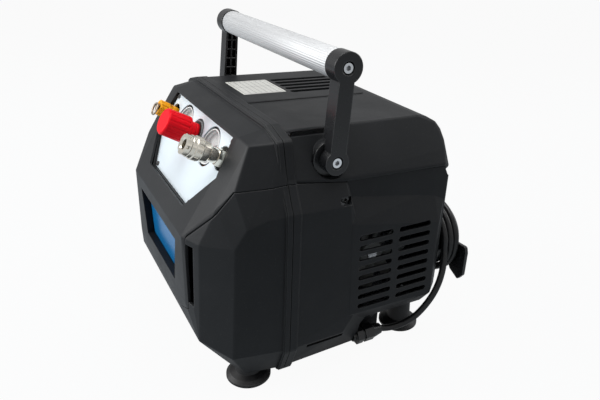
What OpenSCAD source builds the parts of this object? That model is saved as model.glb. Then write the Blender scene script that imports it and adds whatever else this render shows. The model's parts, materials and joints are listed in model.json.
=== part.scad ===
// Portable air compressor: box-shaped moulded housing on four rubber feet, a
// folding tube handle, a sloping control panel and a cord winder on the back.
// Millimetres. X is across the machine, +Y is to the rear, +Z is up. Lengths
// along Y are laid out from the line through the two front feet, and in_frame()
// then puts the origin on the floor at the middle of the overall depth.

/* [Body] */
// Width over the parting rib
body_w = 328; // [300:2:400]
// Height of the top of the parting rib above the floor
body_h = 289; // [280:1:350]
// Distance from the front feet to the rear wall
rear_y = 235; // [228:1:285]
// Distance from the front feet to the parting rib
rib_y = 29; // [26:1:36]
// Height of the belly above the floor
belly_h = 17; // [15:1:24]
// Height of the raised underside behind the belly
tail_h = 45; // [40:1:52]
// Wall thickness of the mouldings
wall = 3; // [2.4:0.2:3.6]
// Outer edge radius of the mouldings
edge_r = 4; // [3.8:0.2:6]
// Height of the parting rib above the mouldings
rib_h = 2.5; // [1.5:0.5:4]
// Gap between neighbouring mouldings
seam_gap = 0.8; // [0.5:0.1:1.5]

/* [Vents] */
// Number of side vent rows
vent_rows = 8; // [5:1:8]
// Height of one side vent slot
vent_h = 6.6; // [4:0.2:7]
// Distance between side vent rows
vent_pitch = 12.4; // [10:0.2:12.6]
// Number of roof vent slots
roof_slots = 5; // [3:1:5]

/* [Control panel] */
// Tilt of the panel from the horizontal
panel_tilt = 62; // [60:1:65]
// Thickness of the panel plate
panel_t = 2; // [1.5:0.5:3]
// Distance from the middle of the panel to each gauge
gauge_u = 45; // [43:1:47]
// Diameter of a gauge case
gauge_d = 40; // [36:1:42]
// Distance from the middle of the panel to the coupler and the safety valve
outlet_u = 84; // [80:0.5:86]
// Diameter of the regulator knob
knob_d = 31; // [26:1:33]
// Length of the regulator knob
knob_len = 34; // [26:1:38]
// Gap round the fittings in the panel plate
fit_gap = 2.5; // [0.5:0.5:3]

/* [Handle] */
// Diameter of the handle tube
tube_d = 29; // [25:1:31]
// Distance from the hinge to the tube
arm_len = 93; // [90:1:112]
// Lean of the raised handle to the rear
handle_lean = 3.7; // [0:0.1:8]
// Diameter of the hinge screws
hinge_d = 6; // [5:0.5:8]
// Number of ribs round the tube
tube_ribs = 30; // [20:1:36]

/* [Feet] */
// Diameter of a foot
foot_d = 50; // [42:1:54]
// Distance from each side of the machine to the middle of a front foot
foot_in = 44.5; // [42:0.5:64]
// Distance from each side of the machine to the middle of a rear foot
rear_foot_in = 52; // [48:0.5:64]
// Distance from the front feet to the rear feet
foot_y = 214; // [210:1:222]

/* [Air tank and pump] */
// Diameter of the air tank
tank_d = 128; // [100:1:132]
// Outer diameter of the motor
motor_d = 108; // [90:1:116]
// Diameter of the motor shaft
shaft_d = 12; // [10:1:14]
// Number of fan blades
fan_blades = 9; // [5:1:11]

/* [Cord winder] */
// Distance from the middle of the machine to each winder collar
winder_x = 105; // [100:1:110]
// Height of the winder collars above the floor
winder_z = 121; // [118:1:128]
// Outer radius of a winder collar
winder_r = 40; // [36:0.5:40.5]

/* [Hidden] */
$fn = 48;
eps = 0.01;

// Rounding centres of the body section. Every form of the housing is swollen from
// these by edge_r outside, by edge_r - wall inside, and by rib_h more at the rib.
side_c = body_w / 2 - rib_h - edge_r;
roof_c = body_h - rib_h - edge_r;
base_c = belly_h + rib_h + edge_r;
belly_end = 162;
tail_c = tail_h + edge_r;
seam_z = body_h - 47;
seam_c = side_c - 16;
bevel_z = seam_z - 30;
sill_z = 54;
inner_r = edge_r - wall;
rib_step = rib_h * 0.45;
corner_fn = 16;
inner_fn = 8;

// Control panel: its top edge, its outline and the row of fittings
panel_y = -1.6;
panel_z = body_h - 16;
panel_len = 89.5;
panel_top_u = side_c - 63.5;
panel_mid_u = side_c - 55;
panel_mid_v = 42;
panel_low_u = side_c - 91;
panel_proud = 4.8;
fitting_v = 25;
slope_y = cos(panel_tilt);
slope_z = sin(panel_tilt);

// Front face: where the slope ends, the window and the front edge of the lower shell
front_y = -62;
slope_end_z = body_h - 116;
frame_low_z = 82;
strut_x = side_c - 57;
window_top_z = body_h - 125;
window_low_z = 108;
window_depth = 9;
window_top_x = strut_x - 28;
window_low_x = strut_x - 42;
lip_x = side_c - 36;
lip_y = -50;
slot_low_z = 96;

// Handle hinge
hinge_y = 79;
hinge_z = body_h - 31;
arm_out = side_c - 1.0;
arm_w = 16;
boss_d = 26;
boss_len = 14;
run_gap = 0.35;
washer_t = 4;
washer_d = 38;
face_r = washer_d / 2 + 0.5;
hinge_in = arm_out - boss_len;
head_d = 10;
head_h = 6;
head_sink = 6.6;
sink_d = 13;
run_fit = 0.05;

// Fittings behind and before the control panel
stack_t = 28;
collar_d = 31;
coupler_hex = 19.6;
outlet_d = coupler_hex + 7;
knob_t = 5.4;
gauge_back = 22;
dial_t = 7;
barrel_d = 16;
coupler_len = 43;
socket_d = 10.4;
socket_len = 20;
sleeve_len = 21;
sleeve_t = coupler_len - 5 - run_gap - sleeve_len;

// Motor and pump axis
motor_y = 158;
motor_z = 118;
tank_y = 27;
chassis_t = 2;
chassis_z = base_c - inner_r * cos(180 / inner_fn);
chassis_rear_z = tail_c - inner_r * cos(180 / inner_fn);
chassis_step_y = 128;
tank_z = chassis_z + chassis_t + 6 + tank_d / 2;
pump_x = -70;
fan_x = side_c - 52;

motor_x0 = 0;
motor_x1 = 68;
rotor_d = 58;
bearing_d = 32;
case_top = motor_z + 43;
cyl_len = 48;
pipe_d = 8;
pipe_bend = 15;
pipe_lap = 2;
check_y = tank_y + 30;
drain_y = tank_y + 21;
drain_top = 2 * tank_z - tank_top(drain_y - 9) - 1;
check_low = tank_top(check_y - 10) + 1;
bung_y = tank_y + 20;
bung_z = tank_top(bung_y - 10) + 1;
bung_x = 40;
chassis_x = side_c - 35.5;
tank_x = side_c - 26;
tank_weld = tank_x - 28;
supply_x = -22;
supply_drop = 24;
supply_y = panel_y - (fitting_v + 15 + supply_drop) * slope_y + (stack_t + 11) * slope_z;
supply_bend_z = panel_z - (fitting_v + 15 + supply_drop) * slope_z - (stack_t + 11) * slope_y;

// Hinge side: straps inside the cover, washers outside it, and the tube ends
strap_x = side_c - 36.5;
strap_t = 3;
washer_in = hinge_in - run_gap - washer_t;
arm_in = arm_out - 18;
tube_x = arm_in - 0.1;
tube_screw_d = 6;
arm_foot = washer_d / 2 + 2;
arm_cells = 5;
arm_cell = (arm_len - 12 - arm_foot) / arm_cells;
recess_y = 92;
recess_z = bevel_z + 4;
foot_screw_d = 6;
front_foot_x = body_w / 2 - foot_in;
rear_foot_x = body_w / 2 - rear_foot_in;
panel_screw_d = 3;

// Rocker switch in the rear wall
switch_x = -62;
switch_z = 203;
switch_w = 27;
switch_h = 19;
rocker_w = 20;

// Cord gland and its pocket
gland_x = 143;
gland_y = 126;
gland_z = 26;
gland_d = 12;
gland_hex = 21;
gland_tip = 161;

// Power cord: diameter, and the route of its free lead from gland to winding
cord_d = 8;
lead_route = [[143, 161, 26], [143.3, 167, 24], [144.6, 175, 22.4], [147, 183, 23.4],
    [150.4, 190.6, 27.4], [153.8, 197.8, 33.8], [156.8, 204.8, 41.4], [159.4, 211.6, 50.2],
    [161.2, 218, 59.8], [162.1, 224.4, 69.6], [161.6, 230, 81], [159.4, 235, 92],
    [156.2, 239, 102], [153, 241.8, 112.5], [150.5, 243, 124]];
tail_route = [[-105, 260, 76], [-95, 260, 77], [-84, 259, 81.5], [-74, 258, 89.5],
    [-63, 257, 97], [-52, 256, 101], [-40, 256, 101]];
winder_len = 35;
winding_r = 45;
winding_y = 239;
winding_t = 25;
plug_d = 36;
plug_len = 60;

// Overall depth, from which the origin is placed
depth_front = min(front_y, panel_y - (fitting_v + 10) * slope_y - coupler_len * slope_z);
depth_back = rear_y + winder_len;
mid_y = (depth_front + depth_back) / 2;

function mirrored(pts) = concat(pts, [for (i = [len(pts) - 1:-1:0]) [-pts[i][0], pts[i][1]]]);

// Half outline of the housing at the parting rib, as rounding centres
section_c = [[side_c - 50, roof_c], [side_c - 25, roof_c - 7], [seam_c, seam_z],
    [side_c, bevel_z], [side_c, sill_z], [side_c - 13, base_c]];

// Corners of the front form, as rounding centres: the section at the rib, the edge of
// the sloping frame, the strut, the front edge of the lower shell and the belly
front_c = concat([for (p = section_c) [p[0], rib_y, p[1]]], [
    [side_c - 54, panel_y + 1, roof_c - 8], [side_c - 35, panel_y + 3, roof_c - 10],
    [side_c - 23, panel_y - 16, seam_z - 8], [side_c - 32, panel_y - 31, seam_z - 27],
    [strut_x - 4, front_y + edge_r, slope_end_z + 5],
    [strut_x - 4, front_y + edge_r + 1, slot_low_z + 3],
    [strut_x - 34, front_y + edge_r + 2, frame_low_z + edge_r],
    [lip_x - 2, lip_y + 1.5, slope_end_z + 5], [lip_x - 3, lip_y - 1.5, 66],
    [side_c - 45, lip_y + 30, base_c], [side_c - 20, -10, base_c],
    [side_c - 2, 6, bevel_z - 1.5], [side_c - 5, -13, bevel_z - 9],
    [side_c - 9, -24, bevel_z - 30], [side_c - 11, -27, sill_z]]);

// Corners of the top cover: roof, seam and ridge, as rounding centres
roof_x = side_c - 39;
ridge_x = side_c - 10;
ridge_z = seam_z - 5;
cover_c = [[roof_x, rib_y, roof_c - 1], [roof_x, rear_y - 33, roof_c - 1],
    [roof_x + 1, rear_y - 22, roof_c - 3.5], [roof_x + 5, rear_y - 13, roof_c - 8.5],
    [roof_x + 9, rear_y - 9, roof_c - 15], [roof_x + 15.5, rear_y - 7.5, roof_c - 25],
    [roof_x + 21.5, rear_y - 8.5, roof_c - 34], [seam_c, rib_y, seam_z], [ridge_x, 98, ridge_z],
    [ridge_x, rear_y - 12, ridge_z - 2], [ridge_x - 3, rear_y - 5, ridge_z - 6],
    [ridge_x - 12, rear_y - edge_r, ridge_z - 16], [seam_c, rib_y, seam_z - 20]];

// Corners of the three forms that make the rear lower shell: the body behind the rib,
// the vented bulges with the tail, and the neck that carries the top cover
body_c = [[seam_c, rib_y - 5, seam_z], [seam_c, 93, seam_z], [side_c, rib_y - 5, bevel_z],
    [side_c, 95, bevel_z - 2], [side_c, rib_y - 5, sill_z], [side_c, 111, sill_z + 24],
    [side_c - 1, 96, sill_z], [side_c - 13, rib_y - 5, base_c], [side_c - 17, 124, base_c],
    [side_c - 28, belly_end, base_c], [side_c - 28, belly_end, tail_c + 4]];
bulge_c = [[side_c - 13.5, 99, bevel_z + 1], [side_c - 13.5, rear_y - 19, bevel_z - 11],
    [side_c + 0.6, 99, bevel_z - 24], [side_c + 0.6, rear_y - 19, bevel_z - 44],
    [side_c + 0.6, 104, sill_z + 22], [side_c + 0.6, rear_y - 19, sill_z + 20],
    [side_c - 9, 122, tail_c + 11], [side_c - 11, rear_y - 21, tail_c + 9],
    [side_c - 34, 122, tail_c], [side_c - 34, rear_y - 10, tail_c],
    [side_c - 14, rear_y - edge_r, bevel_z - 16], [side_c - 12, rear_y - edge_r, sill_z + 22],
    [side_c - 38, rear_y - edge_r, tail_c + 5]];
neck_c = [[side_c - 15, 45, seam_z + 4], [side_c - 11, rear_y - edge_r - 0.7, seam_z + 4],
    [side_c - 15, 45, sill_z + 30], [side_c - 11, rear_y - edge_r - 0.7, sill_z + 30]];

// ---------------------------------------------------------------- shared shapes

module in_frame() {
    translate([0, -mid_y, 0]) children();
}

// A flat outline (y, z) drawn out along X from x0 to x1
module along_x(x0, x1) {
    translate([x0, 0, 0]) rotate([90, 0, 90]) linear_extrude(x1 - x0) children();
}

// A flat outline (x, z) drawn out along Y from y0 to y1
module along_y(y0, y1) {
    translate([0, y1, 0]) rotate([90, 0, 0]) linear_extrude(y1 - y0) children();
}

module both_sides() {
    children();
    mirror([1, 0, 0]) children();
}

// Round bar along X, from x0 to x1, centred at (y, z)
module bar_x(x0, x1, y, z, r) {
    translate([x0, y, z]) rotate([0, 90, 0]) cylinder(r = r, h = x1 - x0);
}

// Convex moulded form: the corners on both sides, each swollen by r
module form(corners, r, fn = corner_fn) {
    hull()
        for (p = corners)
            for (side = [-1, 1])
                translate([side * p[0], p[1], p[2]])
                    sphere(r = r, $fn = fn);
}

module section(grow) {
    offset(r = grow, $fn = 16) polygon(mirrored(section_c));
}

// One half of the flange that makes the parting rib, stepped down on its outer side
module rib(y0, y1, step_y0, step_y1) {
    along_y(y0, y1) difference() {
        section(edge_r + rib_h - rib_step);
        section(inner_r);
    }
    along_y(step_y0, step_y1) difference() {
        section(edge_r + rib_h);
        section(edge_r - 1);
    }
}

// Puts its children on the control panel: u across, v down the slope, t outwards
module on_panel(u, v, t = 0) {
    translate([0, panel_y, panel_z])
        rotate([panel_tilt, 0, 0])
            translate([u, -v, t])
                children();
}

module panel_outline(grow = 0) {
    offset(delta = grow)
        polygon(mirrored([[panel_top_u, 0], [panel_mid_u, -panel_mid_v],
            [panel_low_u, -panel_len]]));
}

module window_outline(grow = 0) {
    offset(delta = grow)
        polygon(mirrored([[window_top_x, window_top_z], [window_low_x, window_low_z]]));
}

// A tube of radius r swept along route, n sides, closed at both ends
function unit(v) = v / norm(v);
function heading(p, i) = unit(p[min(i + 1, len(p) - 1)] - p[max(i - 1, 0)]);
module swept(route, r, lateral, n = 8) {
    rings = [for (i = [0:len(route) - 1])
        let (t = heading(route, i), a = unit(cross(t, lateral)), b = cross(t, a))
        for (k = [0:n - 1]) route[i] + r * (cos(360 * k / n) * a + sin(360 * k / n) * b)];
    sides = [for (i = [0:len(route) - 2]) for (k = [0:n - 1])
        [i * n + k, i * n + (k + 1) % n, (i + 1) * n + (k + 1) % n, (i + 1) * n + k]];
    last = (len(route) - 1) * n;
    caps = [[for (k = [n - 1:-1:0]) k], [for (k = [0:n - 1]) last + k]];
    polyhedron(rings, concat(sides, caps));
}

// Socket head screw with its head on the outside, along +Z from the underside of the head
module socket_screw(d, len, head = head_d, tall = head_h) {
    translate([0, 0, -len]) cylinder(d = d, h = len);
    difference() {
        cylinder(d = head, h = tall);
        translate([0, 0, tall - 3]) cylinder(d = head * 0.55, h = 4, $fn = 6);
    }
}

// ---------------------------------------------------------------- housing

// Space taken by the front frame: all above the seam line, and the face between the struts
module frame_zone(grow) {
    along_x(-body_w, body_w)
        offset(delta = grow)
            polygon([[rib_y + 5, seam_z], [panel_y - 19, seam_z - 6], [panel_y - 34.5, seam_z - 29],
                [front_y - 2, slope_end_z + 1], [front_y - 20, slope_end_z + 1],
                [front_y - 20, body_h + 20], [rib_y + 5, body_h + 20]]);
    along_y(front_y - 10, front_y + 17)
        offset(delta = grow)
            polygon(mirrored([[strut_x + 2, slope_end_z + 20], [strut_x + 2, slot_low_z],
                [strut_x - 28, frame_low_z]]));
}

module front_wall() {
    difference() {
        form(front_c, edge_r);
        form(front_c, inner_r, inner_fn);
        translate([-body_w, rib_y - seam_gap / 2, 0]) cube([2 * body_w, 50, body_h + 20]);
    }
    rib(rib_y - 7, rib_y - seam_gap / 2, rib_y - 5.5, rib_y - seam_gap / 2);
}

// Raised collar and ledge that hold the control panel plate
module panel_seat() {
    on_panel(0, 0, -panel_t - 3.3) linear_extrude(panel_proud + panel_t + 1.8) difference() {
        panel_outline(3);
        panel_outline(0.3);
    }
    on_panel(0, 0, -panel_t - 3.3) linear_extrude(3) difference() {
        panel_outline(2);
        panel_outline(-5);
    }
}

module window_seat() {
    along_y(front_y + 1, front_y + window_depth + 5) difference() {
        window_outline(3);
        window_outline(0.3);
    }
    along_y(front_y + window_depth + 2.3, front_y + window_depth + 5) difference() {
        window_outline(2);
        window_outline(-4);
    }
}

module front_frame() {
    in_frame() color("#26272a") difference() {
        union() {
            intersection() {
                front_wall();
                frame_zone(0);
            }
            intersection() {
                panel_seat();
                form(front_c, edge_r - 1);
            }
            intersection() {
                window_seat();
                form(front_c, edge_r - 1);
            }
        }
        on_panel(0, 0, -1) linear_extrude(30) panel_outline(0.3);
        along_y(front_y - 10, front_y + window_depth + 2) window_outline(0.3);
        panel_screw_places() translate([0, 0, -10]) cylinder(d = panel_screw_d, h = 12);
    }
}

module front_lower_shell() {
    in_frame() color("#26272a") difference() {
        front_wall();
        frame_zone(seam_gap);
        // Side slots between the struts and the shell
        both_sides() translate([strut_x, front_y - 10, slot_low_z + 8])
            cube([lip_x - strut_x - 8, 22, slope_end_z - slot_low_z - 8]);
        foot_screw_holes();
    }
}

// The line along which the top cover meets the lower rear shell, as a region above it
module cover_zone(grow) {
    along_x(-body_w, body_w)
        offset(delta = grow)
            polygon([[rib_y - 5, seam_z - 0.5], [98, ridge_z - 3], [rear_y - 10, ridge_z - 4],
                [rear_y - 3, ridge_z - 17], [rear_y + 20, ridge_z - 17],
                [rear_y + 20, body_h + 20], [rib_y - 5, body_h + 20]]);
}

// Flat outline of a slot with round ends, from x = 0 to x = len
module slot_outline(len, w) {
    translate([w / 2, -w / 2]) square([len - w, w]);
    for (x = [w / 2, len - w / 2])
        translate([x, 0]) circle(d = w, $fn = 16);
}

module roof_slot_cuts() {
    pitch = 15;
    for (i = [0:roof_slots - 1])
        translate([-78 + i * pitch, 112, roof_c - 10]) rotate([0, 0, 90])
            linear_extrude(30) slot_outline(rear_y - 150, 10);
}

module top_cover() {
    in_frame() color("#26272a") difference() {
        union() {
            intersection() {
                union() {
                    difference() {
                        form(cover_c, edge_r);
                        form(cover_c, inner_r, inner_fn);
                        translate([-body_w, -60, 0])
                            cube([2 * body_w, 60 + rib_y + seam_gap / 2, body_h + 20]);
                    }
                    rib(rib_y + seam_gap / 2, rib_y + 10, rib_y + seam_gap / 2, rib_y + 8.5);
                    intersection() {
                        form(cover_c, edge_r);
                        both_sides() bar_x(washer_in - wall, side_c, hinge_y, hinge_z,
                            face_r + wall - 0.6);
                    }
                }
                cover_zone(0);
            }
            // Bosses that carry the handle
            both_sides() difference() {
                bar_x(strap_x + strap_t, washer_in, hinge_y, hinge_z, washer_d / 2 - 2);
                bar_x(strap_x, side_c, hinge_y, hinge_z, hinge_d / 2);
            }
        }
        roof_slot_cuts();
        // Round spot faces that take the hinge washers
        both_sides() bar_x(washer_in, body_w, hinge_y, hinge_z, face_r);
        // Groove beside the raised middle of the roof
        translate([16, rib_y + 10, body_h - rib_h - 2.6]) cube([2, rear_y - rib_y - 50, 10]);
        // Shallow seat for a plate on the raised middle
        translate([-86, rib_y + 23, body_h - rib_h - 1.6]) cube([67, 57, 10]);
        // Finger slots under the roof edges
        both_sides() translate([roof_x - 6, rib_y + 12, roof_c - 3.4]) cube([24, 50, 4.4]);
        both_sides() bar_x(strap_x, side_c, hinge_y, hinge_z, hinge_d / 2);
    }
}

// Both columns of side vents as cuts through the bulge
module side_vent_cuts() {
    first = 111;
    slot_len = (rear_y - 28 - first - 8) / 2;
    for (row = [0:vent_rows - 1])
        for (col = [0, 1])
            along_x(side_c - 12, side_c + 20)
                translate([first + col * (slot_len + 8) - row * 0.6 + 2,
                    sill_z + 26 + vent_h / 2 + row * vent_pitch]) slot_outline(slot_len, vent_h);
}

module rear_form(r, fn) {
    form(body_c, r, fn);
    form(bulge_c, r, fn);
    form(neck_c, r, fn);
}

// Side and rear outline of the pocket that holds the cord gland
module gland_pocket(grow) {
    along_x(gland_x - gland_hex / 2 - 1 - grow, body_w)
        offset(delta = grow)
            polygon([[gland_y, 0], [gland_y, gland_z + 22], [gland_y + 7, gland_z + 29],
                [gland_y + 14, gland_z + 29], [gland_y + 24, tail_h - 1],
                [belly_end + 12, tail_h - 1], [belly_end + 12, 0]]);
}

module rear_lower_shell() {
    in_frame() color("#26272a") difference() {
        union() {
            difference() {
                rear_form(edge_r, corner_fn);
                rear_form(inner_r, inner_fn);
                translate([-body_w, -60, 0])
                    cube([2 * body_w, 60 + rib_y + seam_gap / 2, body_h + 20]);
            }
            rib(rib_y + seam_gap / 2, rib_y + 10, rib_y + seam_gap / 2, rib_y + 8.5);
            intersection() {
                form(body_c, edge_r);
                gland_pocket(wall);
            }
        }
        gland_pocket(0);
        bar_y(gland_y - wall - 2, gland_y + 5, gland_x, gland_z, gland_d / 2 + run_fit);
        cover_zone(seam_gap);
        both_sides() side_vent_cuts();
        // Dark slot along the foot of the side wall
        both_sides() translate([side_c - 2, rib_y + 23, sill_z - 8]) cube([20, 46, 5]);
        // Oval screw recess ahead of each bulge
        both_sides() {
            along_x(side_c - 6, side_c + 20)
                translate([recess_y - 7.5, recess_z]) slot_outline(15, 8);
            bar_x(side_c - 12, side_c, recess_y, recess_z, 2.1);
        }
        // Opening for the rocker switch
        translate([switch_x - switch_w / 2 - 0.2, rear_y - 10, switch_z - switch_h / 2 - 0.2])
            cube([switch_w + 0.4, 20, switch_h + 0.4]);
        drain_opening();
        foot_screw_holes();
    }
}

module drain_opening() {
    translate([0, drain_y, 0]) cylinder(d = 20, h = chassis_z + 6);
}

module foot_screw_holes() {
    for (spot = [[front_foot_x, 0], [rear_foot_x, foot_y]])
        for (side = [-1, 1])
            translate([side * spot[0], spot[1], 0]) cylinder(d = foot_screw_d + 0.4, h = 70);
}

// Plate that carries the controls
module control_panel() {
    in_frame() color("#d9dbdc") difference() {
        on_panel(0, 0, -panel_t) linear_extrude(panel_t) panel_outline();
        for (u = [-gauge_u, gauge_u])
            on_panel(u, fitting_v, -10) cylinder(d = gauge_d + 2 * fit_gap, h = 20);
        on_panel(0, fitting_v, -10) cylinder(d = collar_d + 2 * fit_gap, h = 20);
        for (u = [-outlet_u, outlet_u])
            on_panel(u, fitting_v, -10) cylinder(d = outlet_d, h = 20);
        panel_screw_places() translate([0, 0, -10]) cylinder(d = panel_screw_d + 0.2, h = 20);
    }
}

module panel_screw_places() {
    for (side = [-1, 1]) {
        on_panel(side * (panel_top_u - 3), 4) children();
        on_panel(side * (panel_low_u - 5), panel_len - 4) children();
    }
}

module panel_screws() {
    in_frame() color("#4a4c50") panel_screw_places() union() {
        cylinder(d = 5.4, h = 1.4);
        translate([0, 0, -panel_t - 3]) cylinder(d = panel_screw_d, h = panel_t + 3);
    }
}

// Tinted plate of the window in the front face
module window_plate() {
    in_frame() color("#1d6fb5")
        along_y(front_y + window_depth, front_y + window_depth + 2) window_outline(-0.2);
}

// ---------------------------------------------------------------- chassis and feet

// Bent steel plate that carries everything: low in the belly, raised behind it
module chassis_plate() {
    in_frame() color("#8b8f94") difference() {
        along_x(-chassis_x, chassis_x) polygon([
            [-11, chassis_z], [chassis_step_y + chassis_t, chassis_z],
            [chassis_step_y + chassis_t, chassis_rear_z], [rear_y - 12, chassis_rear_z],
            [rear_y - 12, chassis_rear_z + chassis_t], [chassis_step_y, chassis_rear_z + chassis_t],
            [chassis_step_y, chassis_z + chassis_t], [-11, chassis_z + chassis_t]]);
        translate([0, drain_y, chassis_z - 5]) cylinder(d = 18, h = 20);
        foot_screw_holes();
    }
}

// Moulded rubber foot with a broad lip, standing on z = 0
module foot(tall) {
    difference() {
        rotate_extrude() polygon([[0, 0], [foot_d / 2 - 1, 0], [foot_d / 2, 1.2],
            [foot_d / 2, 4], [foot_d / 2 - 4, 7], [foot_d / 2 - 10, 10], [foot_d / 2 - 12, tall],
            [0, tall]]);
        translate([0, 0, -1]) cylinder(d = 14, h = tall - 9);
        cylinder(d = foot_screw_d + 0.2, h = 2 * tall, center = true);
    }
}

module feet(x, y, tall) {
    for (side = [-1, 1])
        translate([side * x, y, 0]) foot(tall);
}

module front_feet() {
    in_frame() color("#1b1b1c") feet(front_foot_x, 0, belly_h + rib_h);
}

module rear_feet() {
    in_frame() color("#1b1b1c") feet(rear_foot_x, foot_y, tail_h);
}

// Screws and nuts that clamp the feet and the shells to the chassis plate
module foot_screws() {
    in_frame() color("#b9bcc0")
        for (side = [-1, 1])
            for (spot = [[front_foot_x, 0, belly_h + rib_h, chassis_z],
                    [rear_foot_x, foot_y, tail_h, chassis_rear_z]])
                translate([side * spot[0], spot[1], 0]) {
                    head_z = spot[2] - 10;
                    top_z = spot[3] + chassis_t;
                    translate([0, 0, head_z - 5]) difference() {
                        cylinder(d = 10, h = 5);
                        translate([0, 0, -1]) cylinder(d = 5, h = 4, $fn = 6);
                    }
                    translate([0, 0, head_z]) cylinder(d = foot_screw_d, h = top_z + 7 - head_z);
                    translate([0, 0, top_z]) difference() {
                        cylinder(d = 11.5, h = 5, $fn = 6);
                        translate([0, 0, -1]) cylinder(d = foot_screw_d, h = 8);
                    }
                }
}

// Screws through the recesses of the lower shell into the handle straps
module shell_screws() {
    in_frame() color("#34363a") both_sides()
        translate([side_c - 6 + eps, recess_y, recess_z]) rotate([0, 90, 0])
            socket_screw(4, side_c - 6 - strap_x - 1, 7.4, 3.4);
}

// ---------------------------------------------------------------- handle

// Places its children in the frame of the raised handle: hinge at 0, tube at z = arm_len
module at_hinge() {
    translate([0, hinge_y, hinge_z]) rotate([-handle_lean, 0, 0]) children();
}

module tube_outline() {
    polygon([for (i = [0:tube_ribs - 1]) for (step = [0:3])
        let (a = 360 * (i + step / 4) / tube_ribs, r = tube_d / 2 - (step > 1 ? 0.7 : 0))
            r * [cos(a), sin(a)]]);
}

module handle_tube() {
    in_frame() color("#c9ccd0") at_hinge() difference() {
        translate([-tube_x, 0, arm_len]) rotate([90, 0, 90])
            linear_extrude(2 * tube_x) tube_outline();
        bar_x(-tube_x - 1, tube_x + 1, 0, arm_len, tube_d / 2 - 3);
    }
}

// Side arm: tube socket at the top, channel-shaped bar, hinge boss at the bottom
module handle_arm() {
    at_hinge() difference() {
        union() {
            along_x(arm_in, arm_out) arm_bar(0);
            along_x(hinge_in, arm_out) translate([-arm_w / 2 - 0.8, 0]) square([arm_w + 1.6, arm_foot + 1]);
            bar_x(arm_in, arm_out, 0, arm_len, tube_d / 2 + 1);
            bar_x(hinge_in, arm_out, 0, 0, boss_d / 2);
            // Spigot inside the tube
            bar_x(tube_x - 18, arm_in + eps, 0, arm_len, tube_d / 2 - 3.1);
        }
        // Open channel on the inner side, with cross ribs left standing
        difference() {
            along_x(arm_in - 1, arm_out - 4) arm_bar(2.4);
            for (i = [1:arm_cells - 1])
                translate([arm_in, -arm_w, arm_foot + i * arm_cell]) cube([30, 2 * arm_w, 2]);
            translate([arm_in, -0.9, 0]) cube([30, 1.8, arm_len]);
        }
        bar_x(tube_x - 20, arm_out + 1, 0, arm_len, tube_screw_d / 2 + 0.1);
        bar_x(arm_out - head_sink, arm_out + 1, 0, arm_len, sink_d / 2);
        bar_x(0, arm_out + 1, 0, 0, hinge_d / 2 + run_fit);
        bar_x(arm_out - head_sink, arm_out + 1, 0, 0, sink_d / 2);
    }
}

// Side view of the bar between the two bosses, inset by grow
module arm_bar(inset) {
    polygon([[-arm_w / 2 - 0.8 + inset, arm_foot + inset], [arm_w / 2 + 0.8 - inset, arm_foot + inset],
        [arm_w / 2 - inset, arm_len - 12 - inset], [-arm_w / 2 + inset, arm_len - 12 - inset]]);
}

module handle_arm_right() {
    in_frame() color("#202124") handle_arm();
}

module handle_arm_left() {
    in_frame() color("#202124") mirror([1, 0, 0]) handle_arm();
}

module handle_tube_bolts() {
    in_frame() color("#c4c6ca") both_sides() at_hinge()
        translate([arm_out - head_sink, 0, arm_len]) rotate([0, 90, 0])
            socket_screw(tube_screw_d, 22);
}

// Friction washers between the arms and the bosses of the cover
module hinge_washers() {
    in_frame() color("#2b2c2f") both_sides() difference() {
        bar_x(washer_in, washer_in + washer_t, hinge_y, hinge_z, washer_d / 2);
        bar_x(washer_in - 1, washer_in + washer_t + 1, hinge_y, hinge_z, hinge_d / 2);
    }
}

module hinge_bolts() {
    in_frame() color("#c4c6ca") both_sides() translate([arm_out - head_sink + run_gap, hinge_y, hinge_z])
        rotate([0, 90, 0])
            socket_screw(hinge_d, arm_out - head_sink + run_gap - strap_x + 8, head_d, head_h - run_gap);
}

module hinge_nuts() {
    in_frame() color("#c4c6ca") both_sides() difference() {
        translate([strap_x - 5, hinge_y, hinge_z]) rotate([0, 90, 0]) cylinder(d = 11.5, h = 5, $fn = 6);
        bar_x(strap_x - 6, strap_x + 1, hinge_y, hinge_z, hinge_d / 2);
    }
}

// Steel straps that take the load of the handle down to the chassis plate
module handle_straps() {
    in_frame() color("#8b8f94") both_sides() difference() {
        union() {
            along_x(strap_x, strap_x + strap_t)
                polygon([[84, chassis_z + chassis_t], [99, chassis_z + chassis_t], [99, hinge_z - 26],
                    [92, hinge_z + 10], [hinge_y - 10, hinge_z + 10], [hinge_y - 10, hinge_z - 30],
                    [84, hinge_z - 44]]);
            translate([strap_x - 14, 84, chassis_z + chassis_t]) cube([14 + eps, 15, strap_t]);
        }
        bar_x(strap_x - 1, strap_x + strap_t + 1, hinge_y, hinge_z, hinge_d / 2);
        bar_x(strap_x - 1, strap_x + strap_t + 1, recess_y, recess_z, 2);
    }
}

// ---------------------------------------------------------------- control panel fittings

// Diaphragm body of the regulator with its pale collar and spindle
module regulator_body() {
    in_frame() color("#b4b6b8") on_panel(0, fitting_v) difference() {
        union() {
            translate([0, 0, -stack_t]) cylinder(d = 38, h = stack_t - panel_t - 2);
            translate([0, 0, -panel_t - 2.1]) cylinder(d = collar_d, h = panel_t + 3.1);
            cylinder(d = 22, h = 5);
            cylinder(d = 9, h = 24);
            translate([0, 0, -stack_t - 8]) cylinder(d = 12, h = 9);
        }
    }
}

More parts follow.
